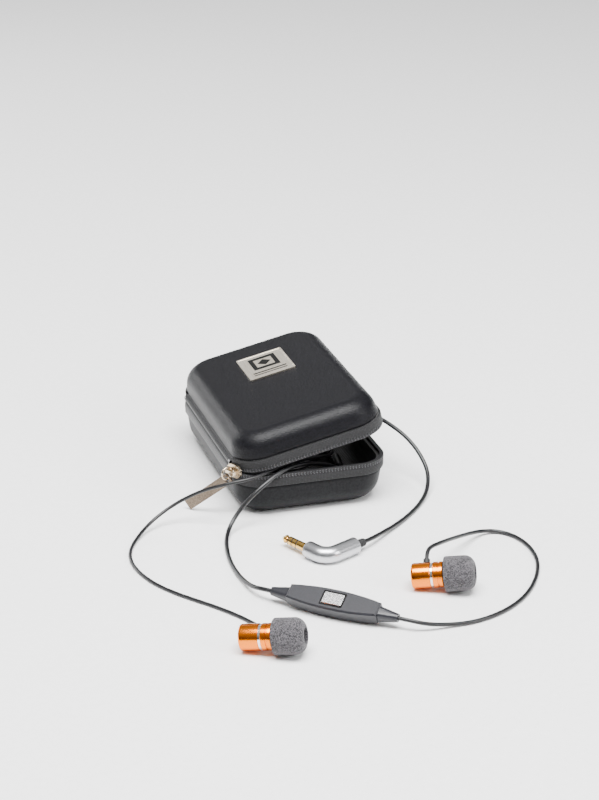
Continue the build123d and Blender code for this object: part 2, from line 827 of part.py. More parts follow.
left_route = [
    tuple(left_exit),
    tuple(left_exit + left_out * 3.4),
    (-50.3, -143.6, 1.6),
    (-51.0, -138.9, 0.9),
    (-53.6, -132.9, 0.75),
    (-57.6, -126.0, 0.75),
    (-62.6, -118.8, 0.75),
    (-68.6, -111.2, 0.75),
    (-74.4, -103.2, 0.75),
    (-79.2, -94.4, 0.75),
    (-82.4, -84.4, 0.75),
    (-83.5, -74.4, 0.75),
    (-82.0, -64.4, 0.75),
    (-77.2, -54.6, 1.0),
    (-69.2, -45.4, 3.2),
    (-58.8, -42.0, 8.2),
    (-48.0, -45.6, 14.6),
    (-38.2, -51.4, 18.9),
    (-28.2, -52.9, 20.5),
    (-16.8, -46.9, 20.7),
    (-5.0, -39.6, 20.4),
    (6.0, -32.6, 17.4),
    (15.0, -22.5, 13.0),
    (20.2, -9.0, 9.2),
    (18.5, 7.5, 7.4),
    (8.0, 20.0, 7.1),
    (-8.0, 21.0, 7.0),
    (-18.0, 8.5, 7.0),
    (-16.5, -7.5, 7.0),
    (-6.0, -20.0, 6.6),
    (6.5, -27.6, 6.0),
    (15.6, -28.2, 5.4),
    tuple(left_port),
]

remote_route = [
    tuple(remote_inlet),
    tuple(remote_inlet - remote_x * 4.0),
    (-44.6, -113.2, 3.2),
    (-45.7, -106.4, 2.0),
    (-46.3, -98.4, 1.2),
    (-46.4, -90.0, 0.95),
    (-45.8, -81.6, 0.95),
    (-44.4, -73.0, 0.95),
    (-42.2, -64.4, 1.2),
    (-38.8, -57.4, 3.2),
    (-33.0, -54.4, 9.4),
    (-25.2, -54.4, 16.6),
    (-14.6, -49.0, 20.9),
    (-2.5, -42.4, 20.0),
    (8.5, -37.2, 15.8),
    (16.2, -29.6, 9.6),
    tuple(remote_port),
]

right_route = [
    tuple(right_exit),
    tuple(right_exit + right_out * 3.0),
    (25.4, -116.3, 11.7),
    (30.6, -112.8, 11.1),
    (37.6, -106.2, 8.8),
    (44.5, -99.5, 6.2),
    (51.2, -93.3, 3.7),
    (57.8, -88.9, 1.8),
    (64.6, -89.3, 1.0),
    (69.0, -94.4, 0.85),
    (71.2, -101.8, 0.85),
    (71.3, -110.6, 0.85),
    (69.6, -119.2, 0.85),
    (66.0, -128.0, 0.85),
    (60.8, -136.8, 0.85),
    (54.0, -145.4, 0.85),
    (45.6, -152.6, 0.85),
    (36.0, -157.8, 0.85),
    (26.0, -160.4, 0.85),
    (16.6, -160.4, 1.4),
    (8.6, -160.6, 2.9),
    tuple(remote_outlet + remote_x * 5.0),
    tuple(remote_outlet),
]

plug_route = [
    tuple(plug_exit),
    tuple(plug_exit + barrel_out * 4.0),
    (18.2, -80.0, 2.2),
    (27.6, -71.8, 1.2),
    (36.4, -63.4, 0.95),
    (44.2, -54.4, 1.1),
    (50.2, -45.8, 2.6),
    (53.4, -37.4, 7.0),
    (52.0, -29.6, 12.6),
    (48.6, -22.4, 17.4),
    (43.6, -14.6, 20.8),
    (38.6, -5.0, 22.4),
    (32.0, 3.4, 21.9),
    (22.6, 4.6, 17.0),
    (13.6, -0.6, 11.6),
    (4.5, -8.8, 8.6),
    (-4.5, -12.2, 6.2),
]

lead_route = [
    tuple(splitter_end),
    tuple(splitter_end + splitter_along * 6.0),
    (20.6, 6.0, 4.2),
]

tube("left_cable", left_route, ear_cable)
tube("remote_cable", remote_route, trunk_cable)
tube("right_cable", right_route, bud_cable)
tube("plug_cable", plug_route, trunk_cable)
tube("main_cable_lead", lead_route, trunk_cable)
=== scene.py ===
"""Wired in-ear monitors, their remote and plug, and a zipped clamshell case.

Sizes in the classes are millimetres in the row frame, and every finished mesh is in metres.
"""

import json
import logging
from dataclasses import dataclass, field
from enum import Enum
from math import atan2, cos, hypot, pi, radians, sin, tan
from typing import Sequence

import bmesh
import bpy
from mathutils import Matrix, Vector, noise


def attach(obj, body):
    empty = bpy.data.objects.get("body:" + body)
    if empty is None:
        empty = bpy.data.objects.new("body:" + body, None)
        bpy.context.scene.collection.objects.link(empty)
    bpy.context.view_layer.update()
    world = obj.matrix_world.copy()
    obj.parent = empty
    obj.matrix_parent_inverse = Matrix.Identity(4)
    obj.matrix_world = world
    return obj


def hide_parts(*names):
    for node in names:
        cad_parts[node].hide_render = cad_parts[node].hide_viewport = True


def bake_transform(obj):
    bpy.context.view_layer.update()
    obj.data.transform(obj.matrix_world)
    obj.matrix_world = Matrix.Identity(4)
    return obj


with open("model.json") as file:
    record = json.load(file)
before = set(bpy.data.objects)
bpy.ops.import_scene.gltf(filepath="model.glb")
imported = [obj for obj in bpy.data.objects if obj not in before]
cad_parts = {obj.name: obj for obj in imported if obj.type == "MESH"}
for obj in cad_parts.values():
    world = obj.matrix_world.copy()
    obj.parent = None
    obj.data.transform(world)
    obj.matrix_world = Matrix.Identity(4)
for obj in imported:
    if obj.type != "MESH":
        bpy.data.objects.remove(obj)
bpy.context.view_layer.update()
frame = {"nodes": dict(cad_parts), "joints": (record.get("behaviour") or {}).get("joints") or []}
LOG = logging.getLogger("in_ear_monitors")
MM = 0.001
WAVE_TURN = 0.31416  # a Wave texture's period, in coordinate units, at scale 1
NAP_ROUGHNESS = 0.5  # of the sheen on raised fibres
SMOOTHEST = 0.02  # no real surface here is smoother
Triple = tuple[float, float, float]


# ---- shared tools --------------------------------------------------------------------------------
def joint(name: str) -> dict:
    """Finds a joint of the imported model.

    Args:
        name: the joint's name.

    Returns:
        The joint's row, with its axis and its place.
    """
    return next(row for row in frame["joints"] if row["name"] == name)


def linear(code: str) -> tuple[float, float, float, float]:
    """Turns an sRGB hex colour into linear RGBA.

    Args:
        code: the colour, such as "#48474d".

    Returns:
        The linear red, green, blue and alpha.
    """
    parts = [int(code[i:i + 2], 16) / 255 for i in (1, 3, 5)]
    return (*[c / 12.92 if c <= 0.04045 else ((c + 0.055) / 1.055) ** 2.4 for c in parts], 1.0)


def add(tree: bpy.types.NodeTree, kind: str, settings: dict | None = None,
        links: dict | None = None) -> bpy.types.Node:
    """Adds a node with its settings and links.

    Args:
        tree: the material's node tree.
        kind: the node's type.
        settings: values by input name, input number or property name.
        links: output sockets by input name or number.

    Returns:
        The new node.
    """
    made = tree.nodes.new(kind)
    for name, value in (settings or {}).items():
        if isinstance(name, int) or name in made.inputs:
            made.inputs[name].default_value = value
        else:
            setattr(made, name, value)
    for name, source in (links or {}).items():
        tree.links.new(source, made.inputs[name])
    return made


def frame_at(origin: Sequence[float], along: Sequence[float], side: Sequence[float]) -> Matrix:
    """Makes the placing matrix of a part drawn along its own Z.

    Args:
        origin: the part's origin, in millimetres.
        along: where its Z goes.
        side: roughly where its X goes.

    Returns:
        The matrix from the part's millimetres to metres in the row frame.
    """
    up = Vector(along).normalized()
    across = Vector(side) - up * up.dot(Vector(side))
    across.normalize()
    turn = Matrix((across, up.cross(across), up)).transposed().to_4x4()
    return Matrix.Translation(Vector(origin) * MM) @ turn @ Matrix.Scale(MM, 4)


def in_place(mesh: bmesh.types.BMesh, name: str, place: Matrix, crease: float = 35.0) -> bpy.types.Object:
    """Turns a bmesh into an object whose place is in its mesh.

    Args:
        mesh: the shape, in millimetres in its own frame.
        name: the new object's name.
        place: the placing matrix.
        crease: edges sharper than this many degrees stay sharp.

    Returns:
        The linked object.
    """
    bmesh.ops.transform(mesh, matrix=place, verts=mesh.verts)
    data = bpy.data.meshes.new(name)
    mesh.to_mesh(data)
    mesh.free()
    data.shade_smooth()
    data.set_sharp_from_angle(angle=radians(crease))
    made = bpy.data.objects.new(name, data)
    bpy.context.collection.objects.link(made)
    return made


def spun(profile: Sequence[tuple[float, float]], steps: int = 72,
         closed: bool = False) -> bmesh.types.BMesh:
    """Turns a half profile about Z.

    Args:
        profile: radius and height of each point.
        steps: how many steps the full turn has.
        closed: whether the last point joins the first, as in a ring.

    Returns:
        The turned shape, normals outwards.
    """
    mesh = bmesh.new()
    points = [mesh.verts.new((r, 0.0, z)) for r, z in profile]
    pairs = list(zip(points, points[1:] + points[:1])) if closed else list(zip(points, points[1:]))
    lines = [mesh.edges.new(pair) for pair in pairs]
    bmesh.ops.spin(mesh, geom=points + lines, cent=(0, 0, 0), axis=(0, 0, 1), angle=2 * pi,
                   steps=steps, use_merge=True)
    bmesh.ops.remove_doubles(mesh, verts=mesh.verts, dist=1e-4)
    bmesh.ops.recalc_face_normals(mesh, faces=mesh.faces)
    return mesh


def rounding(centre: tuple[float, float], radius: float, start: float, end: float,
             steps: int = 6) -> list[tuple[float, float]]:
    """Gives the points of a rounded edge in a profile.

    Args:
        centre: the arc's centre, as radius and height.
        radius: the arc's radius.
        start: the angle of the first point, in degrees.
        end: the angle of the last point, in degrees.
        steps: how many straight stretches the arc has.

    Returns:
        The arc's points, in order.
    """
    turn = [radians(start + (end - start) * i / steps) for i in range(steps + 1)]
    return [(centre[0] + radius * cos(a), centre[1] + radius * sin(a)) for a in turn]


def dress(piece: bpy.types.Object, material: bpy.types.Material) -> None:
    """Gives every slot of a piece the same material.

    Args:
        piece: the piece.
        material: its material.
    """
    if not piece.material_slots:
        piece.data.materials.append(material)
    for place in piece.material_slots:
        place.material = material


# ---- finishes ------------------------------------------------------------------------------------
class Pattern(Enum):
    """How a surface was made, which gives its fine relief."""

    PEBBLE = "embossed cells"
    CLOTH = "threads over and under"
    LAY = "brushed or turned lines"
    PORES = "open foam cells"
    PEEL = "fine moulded or cast skin"


@dataclass(frozen=True)
class Finish:
    """A surface finish: a material, its colours and its relief.

    Sizes are millimetres. colour and second are the ends of the tint's range, and second_share says
    where in the pattern the one gives way to the other. spread is how far the roughness strays to either
    side. stretch multiplies the pattern's frequency on each axis. on_uv lays the pattern on the piece's
    own UV map.
    """

    name: str
    slot: str
    colour: str
    second: str
    pattern: Pattern
    pitch: float
    roughness: float
    metallic: float = 0.0
    relief: float = 0.02
    spread: float = 0.06
    second_share: tuple[float, float] = (0.4, 0.6)
    stretch: Triple = (1.0, 1.0, 1.0)
    sheen: float = 0.0
    ior: float = 1.5
    on_uv: bool = False

    def build(self) -> bpy.types.Material:
        """Makes the material, or finds the one already made.

        Returns:
            The material.
        """
        found = bpy.data.materials.get(self.name)
        if found:
            return found
        made = bpy.data.materials.new(self.name)
        made.use_nodes = True
        tree = made.node_tree
        shader = tree.nodes["Principled BSDF"]
        shader.inputs["Metallic"].default_value = self.metallic
        if not self.metallic:
            shader.inputs["IOR"].default_value = self.ior
        shader.inputs["Sheen Weight"].default_value = self.sheen
        shader.inputs["Sheen Roughness"].default_value = NAP_ROUGHNESS
        made.diffuse_color = linear(self.colour)
        height, tint = self.pattern_sockets(tree)
        blend = add(tree, "ShaderNodeMapRange", {
            "From Min": self.second_share[0], "From Max": self.second_share[1]}, {"Value": tint})
        ends = {6: linear(self.colour), 7: linear(self.second)}
        mix = add(tree, "ShaderNodeMix", {"data_type": "RGBA", **ends}, {0: blend.outputs["Result"]})
        tree.links.new(mix.outputs[2], shader.inputs["Base Color"])
        rough = add(tree, "ShaderNodeMapRange", {
            "To Min": max(SMOOTHEST, self.roughness - self.spread), "To Max": self.roughness + self.spread},
            {"Value": tint})
        tree.links.new(rough.outputs["Result"], shader.inputs["Roughness"])
        bump = add(tree, "ShaderNodeBump", {"Strength": 1.0, "Distance": self.relief * MM},
                   {"Height": height})
        tree.links.new(bump.outputs["Normal"], shader.inputs["Normal"])
        return made

    def pattern_sockets(self, tree: bpy.types.NodeTree
                        ) -> tuple[bpy.types.NodeSocket, bpy.types.NodeSocket]:
        """Adds the nodes of the relief.

        Args:
            tree: the material's node tree.

        Returns:
            The height socket and the socket that tints colour and roughness.
        """
        cells = 1 / (self.pitch * MM)
        place = add(tree, "ShaderNodeTexCoord")
        source = place.outputs["UV" if self.on_uv else "Object"]
        laid = add(tree, "ShaderNodeMapping", {"Scale": self.stretch}, {"Vector": source})
        across = laid.outputs["Vector"]
        if self.pattern is Pattern.PEBBLE:
            cell = add(tree, "ShaderNodeTexVoronoi", {
                "feature": "SMOOTH_F1", "Scale": cells, "Smoothness": 0.6}, {"Vector": across})
            wear = add(tree, "ShaderNodeTexNoise", {"Scale": cells * 0.6, "Detail": 6.0, "Roughness": 0.7},
                       {"Vector": across})
            return cell.outputs["Distance"], wear.outputs["Fac"]
        if self.pattern is Pattern.CLOTH:
            scale = WAVE_TURN * cells
            warp, weft = [add(tree, "ShaderNodeTexWave", {"bands_direction": way, "Scale": scale},
                              {"Vector": across}) for way in "XY"]
            both = add(tree, "ShaderNodeMath", {"operation": "MULTIPLY"},
                       {0: warp.outputs["Fac"], 1: weft.outputs["Fac"]})
            fleck = add(tree, "ShaderNodeTexNoise", {"Scale": cells * 0.9, "Detail": 3.0},
                        {"Vector": across})
            # the tint is lighter where warp and weft both rise: a painted highlight on the thread
            # crossings, broken up by noise
            shade = add(tree, "ShaderNodeMath", {"operation": "MULTIPLY_ADD", 2: 0.0},
                        {0: both.outputs[0], 1: fleck.outputs["Fac"]})
            return both.outputs[0], shade.outputs[0]
        if self.pattern is Pattern.PORES:
            cell = add(tree, "ShaderNodeTexVoronoi", {"Scale": cells}, {"Vector": across})
            grain = add(tree, "ShaderNodeSeparateColor", {}, {"Color": cell.outputs["Color"]})
            return cell.outputs["Distance"], grain.outputs["Red"]
        detail = 3.0 if self.pattern is Pattern.LAY else 6.0
        skin = add(tree, "ShaderNodeTexNoise", {"Scale": cells, "Detail": detail, "Roughness": 0.6},
                   {"Vector": across})
        return skin.outputs["Fac"], skin.outputs["Fac"]


# Polyurethane-coated cloth, pressed over the moulded lid: near-black, fine pebbled grain, soft gloss.
LID_SKIN = Finish("embossed_pu_skin", "case_leather", "#09090b", "#131317", Pattern.PEBBLE,
                  0.45, 0.35, relief=0.1, ior=1.24)
# The same coated cloth stretched over the deeper base, where the grain is pulled flatter and duller.
BASE_SKIN = Finish("stretched_pu_skin", "case_leather", "#101012", "#1a1b1d", Pattern.PEBBLE,
                   0.6, 0.44, relief=0.03, ior=1.2)
# Woven polyester zip tape: matt, with painted highlights, light flecks where the threads cross. Its 0.3 mm
# threads are too fine to show, so they are drawn 0.62 mm apart.
TAPE = Finish("woven_polyester_tape", "zip_tape", "#070709", "#434348", Pattern.CLOTH,
              0.62, 0.85, relief=0.12, second_share=(0.3, 0.66), sheen=0.05, on_uv=True)
# Extruded nylon coil, dyed and drawn smooth: charcoal with a plastic gleam.
TEETH = Finish("nylon_coil", "zip_teeth", "#2e2e31", "#48484c", Pattern.PEEL, 0.6, 0.34)
# Core of the coil and its sewing thread: near-black, partly the black polyester thread and partly painted
# shade under the teeth, darker than the nylon teeth; dull, almost no light.
COIL_CORE = Finish("coil_core_painted_shade", "zip_teeth", "#0c0c0d", "#19191b", Pattern.PEEL, 0.3, 0.7)
# Brushed knit lining, 0.6 mm loops: black, soft and light-absorbing, with a faint painted highlight where
# the threads cross.
LINING = Finish("knitted_lining", "case_lining", "#0b0b0c", "#17171a", Pattern.CLOTH,
                0.6, 0.9, relief=0.08, sheen=0.3)
# Bright nickel plate, brushed along its length: ivory, fine parallel lines. The 0.1 mm lines are drawn
# 0.5 mm apart, so that they show.
BADGE = Finish("brushed_nickel_plate", "badge_metal", "#e2d8c8", "#f3ebdd", Pattern.LAY,
               0.5, 0.3, metallic=1.0, relief=0.004, stretch=(1.0, 0.06, 1.0))
# Black enamel filled into the plate's sunk mark: even, with a soft gloss.
ENAMEL = Finish("black_enamel", "badge_metal", "#050505", "#09090a", Pattern.PEEL, 0.8, 0.5, ior=1.3)
# Die-cast zinc, champagne nickel plated: softly bright, slightly uneven.
ZIP_METAL = Finish("plated_zinc", "zip_metal", "#bfae97", "#d2c3ac", Pattern.PEEL,
                   2.0, 0.24, metallic=1.0, relief=0.01)
# Stamped pull tab, plated darker than the slider: brown and satin.
PULL_METAL = Finish("plated_pull_tab", "zip_metal", "#5d5248", "#75695c", Pattern.PEEL,
                    0.5, 0.3, metallic=1.0, relief=0.008)
# Bar-tack sewing thread, polyester: its light grey is a painted highlight for the glints on the stitches;
# dull and pale against the skin.
THREAD = Finish("bar_tack_thread", "zip_tape", "#b5b5b6", "#dededf", Pattern.PEEL, 0.15, 0.6, relief=0.03)
# Turned aluminium, orange anodised: clear saturated metal with a satin turning lay, drawn 0.25 mm coarse
# because the real marks are too fine to show.
ANODISED = Finish("orange_anodised_aluminium", "anodised_orange", "#ea7505", "#f88a12", Pattern.PEEL,
                  0.25, 0.2, metallic=1.0, relief=0.002)
# Turned and polished aluminium band, bare: mirror-bright.
POLISHED = Finish("polished_aluminium", "polished_band", "#d9d9dc", "#eeeeef", Pattern.PEEL,
                  1.0, 0.1, metallic=1.0, relief=0.001, spread=0.03)
# Anodised aluminium nozzle: dark and satin.
NOZZLE = Finish("dark_anodised_nozzle", "nozzle_metal", "#3a3a3d", "#48484c", Pattern.PEEL,
                0.4, 0.35, metallic=1.0)
# Etched stainless steel screen: grey and satin.
SCREEN = Finish("etched_steel_screen", "screen_steel", "#9a9a9c", "#b4b4b6", Pattern.PEEL,
                0.4, 0.35, metallic=1.0)
# Drawn steel driver can, zinc plated: light grey with soft drawing marks.
CAN = Finish("drawn_steel_can", "driver_can", "#a8a8a6", "#bdbdbb", Pattern.PEEL, 0.8, 0.3, metallic=1.0)
# Injection-moulded thermoplastic rubber: black, dull, a faint bloom.
RUBBER = Finish("moulded_tpe_rubber", "sleeve_rubber", "#141415", "#202022", Pattern.PEEL, 0.3, 0.62)
# Slow-recovery polyurethane foam, 0.34 mm cells: mid-grey, speckled, no gloss.
FOAM = Finish("memory_foam", "tip_foam", "#1a191c", "#5b585c", Pattern.PORES,
              0.34, 0.95, relief=0.16, second_share=(0.1, 0.95), sheen=0.15)
# Moulded silicone core inside the foam: black and smooth.
CORE = Finish("silicone_core", "core_rubber", "#18181a", "#222224", Pattern.PEEL, 0.5, 0.5)
# Injection-moulded ABS with a soft spark-eroded grain: dark grey, satin. The 0.1 mm grain is drawn at
# 0.22 mm, so that it shows.
ABS = Finish("spark_grained_abs", "remote_plastic", "#1b1b1f", "#27272c", Pattern.PEEL,
             0.22, 0.33, relief=0.012, ior=1.45)
# Satin-chromed button cap: nearly white under a soft light.
BUTTON = Finish("satin_chrome_button", "button_metal", "#dcdcdd", "#efefef", Pattern.PEEL,
                0.8, 0.22, metallic=1.0, relief=0.003)
# Gloss black polycarbonate frame round the button: dark, with sharp reflections.
GLOSS_BLACK = Finish("gloss_black_frame", "frame_black", "#050506", "#09090a", Pattern.PEEL, 1.0, 0.18)
# Glass-epoxy laminate under green resist: green, smooth, half gloss.
LAMINATE = Finish("resist_coated_laminate", "board_laminate", "#1d4a2c", "#265a37", Pattern.PEEL, 0.8, 0.4)
# Stamped component cases, tinned steel: pale grey, satin.
TINNED = Finish("tinned_component_case", "component_metal", "#a5a5a7", "#c0c0c2", Pattern.PEEL,
                0.7, 0.35, metallic=1.0)
# Extruded thermoplastic elastomer jacket: charcoal, with a dull line of light along its top.
JACKET = Finish("extruded_tpe_jacket", "cable_jacket", "#08080a", "#101013", Pattern.PEEL,
                0.5, 0.36, relief=0.01)
# Machined and bead-blasted aluminium, clear anodised: pale satin metal.
SATIN = Finish("satin_aluminium", "plug_metal", "#b9babd", "#cfd0d3", Pattern.PEEL,
               0.3, 0.3, metallic=1.0, relief=0.004)
# Gold flash over nickel, turned: warm and bright.
GOLD = Finish("gold_plated_contact", "jack_gold", "#d9a94f", "#eac27a", Pattern.PEEL,
              1.0, 0.18, metallic=1.0, relief=0.002)
# Moulded acetal insulating rings: dark brown-black.
ACETAL = Finish("acetal_insulator", "jack_insulator", "#1c1411", "#2a1f1a", Pattern.PEEL, 0.6, 0.4)
# Matt white painted board: the floor, with no gloss.
PAINT = Finish("white_painted_board", "", "#f4f4f4", "#f7f7f7", Pattern.PEEL, 3.0, 0.85, relief=0.005)

CAD_FINISHES: dict[Finish, tuple[str, ...]] = {
    COIL_CORE: ("upper_zip_coil", "lower_zip_coil"),
    LINING: ("upper_lining", "lower_lining"),
    ZIP_METAL: ("zip_slider", "pull_ring"),
    PULL_METAL: ("pull_tab",),
    NOZZLE: ("left_nozzle", "right_nozzle"),
    SCREEN: ("left_nozzle_screen", "right_nozzle_screen"),
    CAN: ("left_driver", "right_driver"),
    CORE: ("left_tip_core", "right_tip_core"),
    RUBBER: ("left_cable_sleeve", "right_cable_sleeve"),
    ABS: ("remote_top_shell", "remote_bottom_shell", "remote_inlet_relief", "remote_outlet_relief"),
    BUTTON: ("remote_button",),
    GLOSS_BLACK: ("button_frame",),
    LAMINATE: ("remote_board",),
    TINNED: ("tact_switch", "microphone"),
    JACKET: ("y_splitter",),
    SATIN: ("plug_elbow",),
    GOLD: ("jack_sleeve", "jack_ring_1", "jack_ring_2", "jack_tip"),
    ACETAL: ("jack_insulators",),
}


def dress_cad_nodes() -> None:
    """Gives each CAD node that stays in view its finish."""
    for finish, names in CAD_FINISHES.items():
        for name in names:
            dress(frame["nodes"][name], finish.build())
            LOG.info("dressed %s in %s", name, finish.name)


def settle(piece: bpy.types.Object, finish: Finish, body: str, *replaced: str) -> bpy.types.Object:
    """Dresses a new piece, puts it on its body and reports it.

    Args:
        piece: the finished object.
        finish: its finish.
        body: the body that it rides on.
        replaced: the CAD nodes that it stands for.

    Returns:
        The same object.
    """
    dress(piece, finish.build())
    if body:
        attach(piece, body)
    if replaced:
        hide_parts(*replaced)
    LOG.info("made %s: %d faces", piece.name, len(piece.data.polygons) if piece.type == "MESH" else 0)
    return piece


# ---- case ----------------------------------------------------------------------------------------
class Half(Enum):
    """The two halves of the case."""

    LID = "lid"
    BASE = "root"


@dataclass
class Case:
    """The moulded clamshell case: shells, zip band, spine, stitches and badge."""

    width: float = 66.0
    depth: float = 99.0
    corner: float = 13.5
    rim_height: float = 19.2
    lid_open: float = 12.5  # degrees, as it rests on the cables
    zip_band: float = 5.0
    shell_inset: float = 0.8
    shell_wall: float = 1.0  # what the lining leaves room for
    lid_depth: float = 10.0
    lid_draft: float = 12.0
    lid_edge: float = 7.5
    base_draft: float = 8.0
    base_edge: float = 9.5
    corner_steps: int = 16
    edge_steps: int = 14
    crease: tuple[tuple[float, float], ...] = ((0.0, 0.4), (0.35, 0.28), (0.8, 0.0), (1.5, 0.0))
    tape_wall: float = 1.0
    tape_pitch: float = 1.2
    tape_setback: float = 0.25
    coil_height: float = 1.3
    tooth_pitch: float = 1.3
    tooth_head: Triple = (0.24, 0.26, 0.22)  # half sizes
    tooth_leg: Triple = (0.3, 0.2, 0.55)
    head_setback: float = 0.12
    leg_setback: float = 0.15
    leg_lean: float = 0.45  # radians
    spine_half: float = 37.4
    spine_wall: float = 0.7
    zip_start: float = 188.0  # degrees, on the corner at the slider
    badge_size: Triple = (20.4, 24.0, 0.6)
    badge_centre: tuple[float, float] = (1.0, 17.0)
    badge_corner: float = 0.6
    badge_border: float = 0.5
    badge_sink: float = 0.15
    enamel_height: float = 0.12
    enamel_drop: float = 0.11  # its middle below the plate's face

    def half_frame(self, half: Half) -> Matrix:
        """Gives the frame of a half's rim plane, Z away from the mouth.

        Args:
            half: which half.

        Returns:
            The placing matrix.
        """
        if half is Half.BASE:
            return frame_at((0, 0, self.rim_height), (0, 0, -1), (1, 0, 0))
        fold = Vector(joint("lid_hinge")["pos_m"]) / MM
        lift = Matrix.Rotation(-radians(self.lid_open), 3, "Y")
        rim = fold + lift @ (Vector((0, 0, self.rim_height)) - fold)
        return frame_at(rim, lift @ Vector((0, 0, 1)), lift @ Vector((1, 0, 0)))

    def outward(self, x: float, y: float) -> Vector:
        """Gives the outward direction at a place on the rim.

        Args:
            x: across the case.
            y: along the hinge.

        Returns:
            The direction, level and of length 1.
        """
        core_x, core_y = self.width / 2 - self.corner, self.depth / 2 - self.corner
        away = Vector((x - max(-core_x, min(core_x, x)), y - max(-core_y, min(core_y, y)), 0))
        return away.normalized()

    def rim(self, pitch: float) -> list[tuple[Vector, float]]:
        """Walks along the zip, from the slider's end of the spine to the other.

        Args:
            pitch: the spacing of the places.

        Returns:
            Each place on the rim's outline, with its distance from the start.
        """
        core_x, core_y, turn = self.width / 2 - self.corner, self.depth / 2 - self.corner, self.corner
        arcs = [(-core_x, -core_y, self.zip_start, 270), (core_x, -core_y, 270, 360),
                (core_x, core_y, 0, 90), (-core_x, core_y, 90, 360 - self.zip_start)]
        corners: list[Vector] = []
        steps = 60
        for cx, cy, start, end in arcs:
            for i in range(steps + 1):
                a = radians(start + (end - start) * i / steps)
                corners.append(Vector((cx + turn * cos(a), cy + turn * sin(a), 0)))
        places, done, goal = [], 0.0, 0.0
        for first, last in zip(corners, corners[1:]):
            run = (last - first).length
            while goal <= done + run:
                places.append((first.lerp(last, (goal - done) / run), goal))
                goal += pitch
            done += run
        return places

    def shell(self, half: Half) -> bpy.types.Object:
        """Makes one moulded shell with its skin.

        Args:
            half: which half.

        Returns:
            The shell.
        """
        lid = half is Half.LID
        deep = self.lid_depth if lid else self.rim_height - self.zip_band
        draft, edge = (self.lid_draft, self.lid_edge) if lid else (self.base_draft, self.base_edge)
        wide, long = self.width - 2 * self.shell_inset, self.depth - 2 * self.shell_inset
        mesh = bmesh.new()
        bmesh.ops.create_cube(mesh, size=1)
        bmesh.ops.scale(mesh, vec=(wide, long, deep), verts=mesh.verts)
        bmesh.ops.translate(mesh, vec=(0, 0, deep / 2), verts=mesh.verts)
        uprights = [e for e in mesh.edges if abs(e.verts[0].co.z - e.verts[1].co.z) > deep / 2]
        bmesh.ops.bevel(mesh, geom=uprights, offset=self.corner - self.shell_inset, offset_type="OFFSET",
                        segments=self.corner_steps, profile=0.5, affect="EDGES", material=-1)
        far = [v for v in mesh.verts if v.co.z > deep / 2]
        lean = deep * tan(radians(draft))
        bmesh.ops.scale(mesh, vec=(1 - 2 * lean / wide, 1 - 2 * lean / long, 1), verts=far)
        ridge = [e for e in mesh.edges if all(v.co.z > deep / 2 for v in e.verts)]
        setback = edge * tan(radians((90 - draft) / 2))
        bmesh.ops.bevel(mesh, geom=ridge, offset=setback, offset_type="OFFSET",
                        segments=self.edge_steps, profile=0.5, affect="EDGES", material=-1)
        mouth = [f for f in mesh.faces if all(v.co.z < 1e-4 for v in f.verts)]
        bmesh.ops.delete(mesh, geom=mouth, context="FACES_ONLY")
        for height, _ in self.crease[1:]:
            bmesh.ops.bisect_plane(mesh, geom=mesh.verts[:] + mesh.edges[:] + mesh.faces[:],
                                   plane_co=(0, 0, height), plane_no=(0, 0, 1), dist=1e-5)
        for v in mesh.verts:  # the pressed crease where the skin turns in under the zip band
            sink = next((depth for height, depth in self.crease if abs(v.co.z - height) < 0.01), 0.0)
            v.co -= self.outward(v.co.x, v.co.y) * sink
        bmesh.ops.recalc_face_normals(mesh, faces=mesh.faces)
        bmesh.ops.solidify(mesh, geom=mesh.faces[:], thickness=self.shell_wall)
        place = self.half_frame(half) @ Matrix.Translation((0, 0, self.zip_band))
        made = in_place(mesh, "lid_moulded_shell" if lid else "base_moulded_shell", place, 60)
        return settle(made, LID_SKIN if lid else BASE_SKIN, half.value,
                      "case_upper_shell" if lid else "case_lower_shell")

    def tape(self, half: Half) -> bpy.types.Object:
        """Makes the woven tape of one half's zip, with its own UV map in metres.

        Args:
            half: which half.

        Returns:
            The tape.
        """
        mesh = bmesh.new()
        along = mesh.verts.layers.float.new("along")
        chain = []
        for place, distance in self.rim(self.tape_pitch):
            inset = self.outward(place.x, place.y) * self.tape_setback
            point = mesh.verts.new(place - inset + Vector((0, 0, self.coil_height)))
            point[along] = distance
            chain.append(point)
        row = [mesh.edges.new(pair) for pair in zip(chain, chain[1:])]
        rows = [(0.25, 0.22), (0.9, 0.03), (1.1, 0.0), (1.0, -0.05), (0.45, -0.2)]  # up and out
        for rise, push in rows:
            grown = bmesh.ops.extrude_edge_only(mesh, edges=row)["geom"]
            row = [g for g in grown if isinstance(g, bmesh.types.BMEdge)]
            fresh = [g for g in grown if isinstance(g, bmesh.types.BMVert)]
            bmesh.ops.translate(mesh, vec=(0, 0, rise), verts=fresh)
            for v in fresh:
                v.co += self.outward(v.co.x, v.co.y) * push
        bmesh.ops.recalc_face_normals(mesh, faces=mesh.faces)
        probe = mesh.faces[0]
        middle = probe.calc_center_median()
        if probe.normal.dot(self.outward(middle.x, middle.y)) < 0:
            bmesh.ops.reverse_faces(mesh, faces=mesh.faces)
        bmesh.ops.solidify(mesh, geom=mesh.faces[:], thickness=self.tape_wall)
        flat = mesh.loops.layers.uv.new("UVMap")
        for face in mesh.faces:
            for corner in face.loops:
                corner[flat].uv = (corner.vert[along] * MM, corner.vert.co.z * MM)
        name = "lid" if half is Half.LID else "base"
        made = in_place(mesh, f"{name}_woven_tape", self.half_frame(half), 60)
        return settle(made, TAPE, half.value, "upper_zip_tape" if half is Half.LID else "lower_zip_tape")

